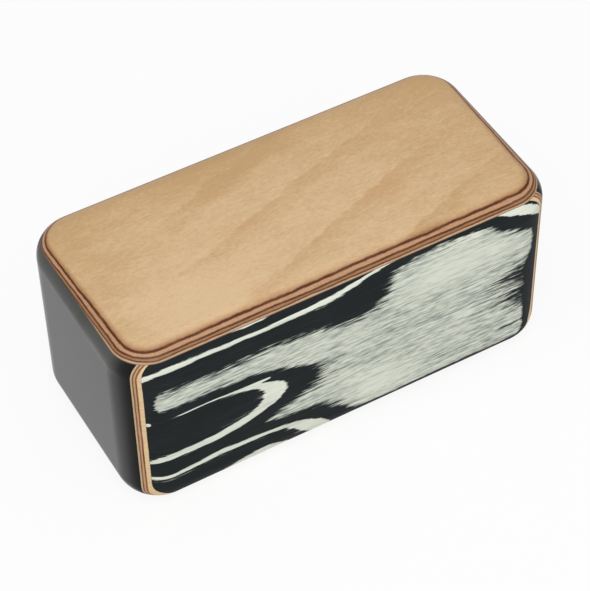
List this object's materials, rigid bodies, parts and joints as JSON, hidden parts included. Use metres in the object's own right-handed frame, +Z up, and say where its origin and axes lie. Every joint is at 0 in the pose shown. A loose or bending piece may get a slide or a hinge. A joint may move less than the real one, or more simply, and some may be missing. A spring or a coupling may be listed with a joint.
{
  "type": "box shaker",
  "caption": "Rectangular wooden box shaker with rounded-over laminated edges, a beech top, black and white veneered sides, black ends and loose shot inside.",
  "frame": {"origin": "middle of the underside", "axes": "+X along the length, -Y out of the front face, +Z up through the top panel"},
  "size_m": [0.12, 0.057, 0.0545],
  "materials": {
    "beech_veneer": "satin varnished beech",
    "two_tone_veneer": "satin black and white figured veneer",
    "outer_ply": "sanded ply edge, varnished",
    "core_ply": "sanded ply edge, varnished",
    "inner_ply": "sanded ply edge, varnished",
    "black_lacquer": "satin black lacquer on board",
    "steel_shot": "plain round steel shot"
  },
  "bodies": {
    "box": {"top_face_veneer": "beech_veneer", "top_outer_ply": "outer_ply", "top_core_ply": "core_ply", "top_inner_ply": "inner_ply", "front_face_veneer": "two_tone_veneer", "front_outer_ply": "outer_ply", "front_core_ply": "core_ply", "front_inner_ply": "inner_ply", "back_face_veneer": "two_tone_veneer", "back_outer_ply": "outer_ply", "back_core_ply": "core_ply", "back_inner_ply": "inner_ply", "left_end_board": "black_lacquer", "right_end_board": "black_lacquer", "base_board": "black_lacquer"},
    "shot_1": {"shot_lane_1": "steel_shot"},
    "shot_2": {"shot_lane_2": "steel_shot"},
    "shot_3": {"shot_lane_3": "steel_shot"},
    "shot_4": {"shot_lane_4": "steel_shot"},
    "shot_5": {"shot_lane_5": "steel_shot"},
    "shot_6": {"shot_lane_6": "steel_shot"},
    "shot_7": {"shot_lane_7": "steel_shot"},
    "shot_8": {"shot_lane_8": "steel_shot"}
  },
  "joints": [
    {"name": "shot_1_slide", "type": "slide", "parent": "box", "child": "shot_1", "axis": [0, 1, 0], "range_m": [-0.0187, 0.0187]},
    {"name": "shot_2_slide", "type": "slide", "parent": "box", "child": "shot_2", "axis": [0, 1, 0], "range_m": [-0.0187, 0.0187]},
    {"name": "shot_3_slide", "type": "slide", "parent": "box", "child": "shot_3", "axis": [0, 1, 0], "range_m": [-0.0187, 0.0187]},
    {"name": "shot_4_slide", "type": "slide", "parent": "box", "child": "shot_4", "axis": [0, 1, 0], "range_m": [-0.0187, 0.0187]},
    {"name": "shot_5_slide", "type": "slide", "parent": "box", "child": "shot_5", "axis": [0, 1, 0], "range_m": [-0.0187, 0.0187]},
    {"name": "shot_6_slide", "type": "slide", "parent": "box", "child": "shot_6", "axis": [0, 1, 0], "range_m": [-0.0187, 0.0187]},
    {"name": "shot_7_slide", "type": "slide", "parent": "box", "child": "shot_7", "axis": [0, 1, 0], "range_m": [-0.0187, 0.0187]},
    {"name": "shot_8_slide", "type": "slide", "parent": "box", "child": "shot_8", "axis": [0, 1, 0], "range_m": [-0.0187, 0.0187]}
  ]
}
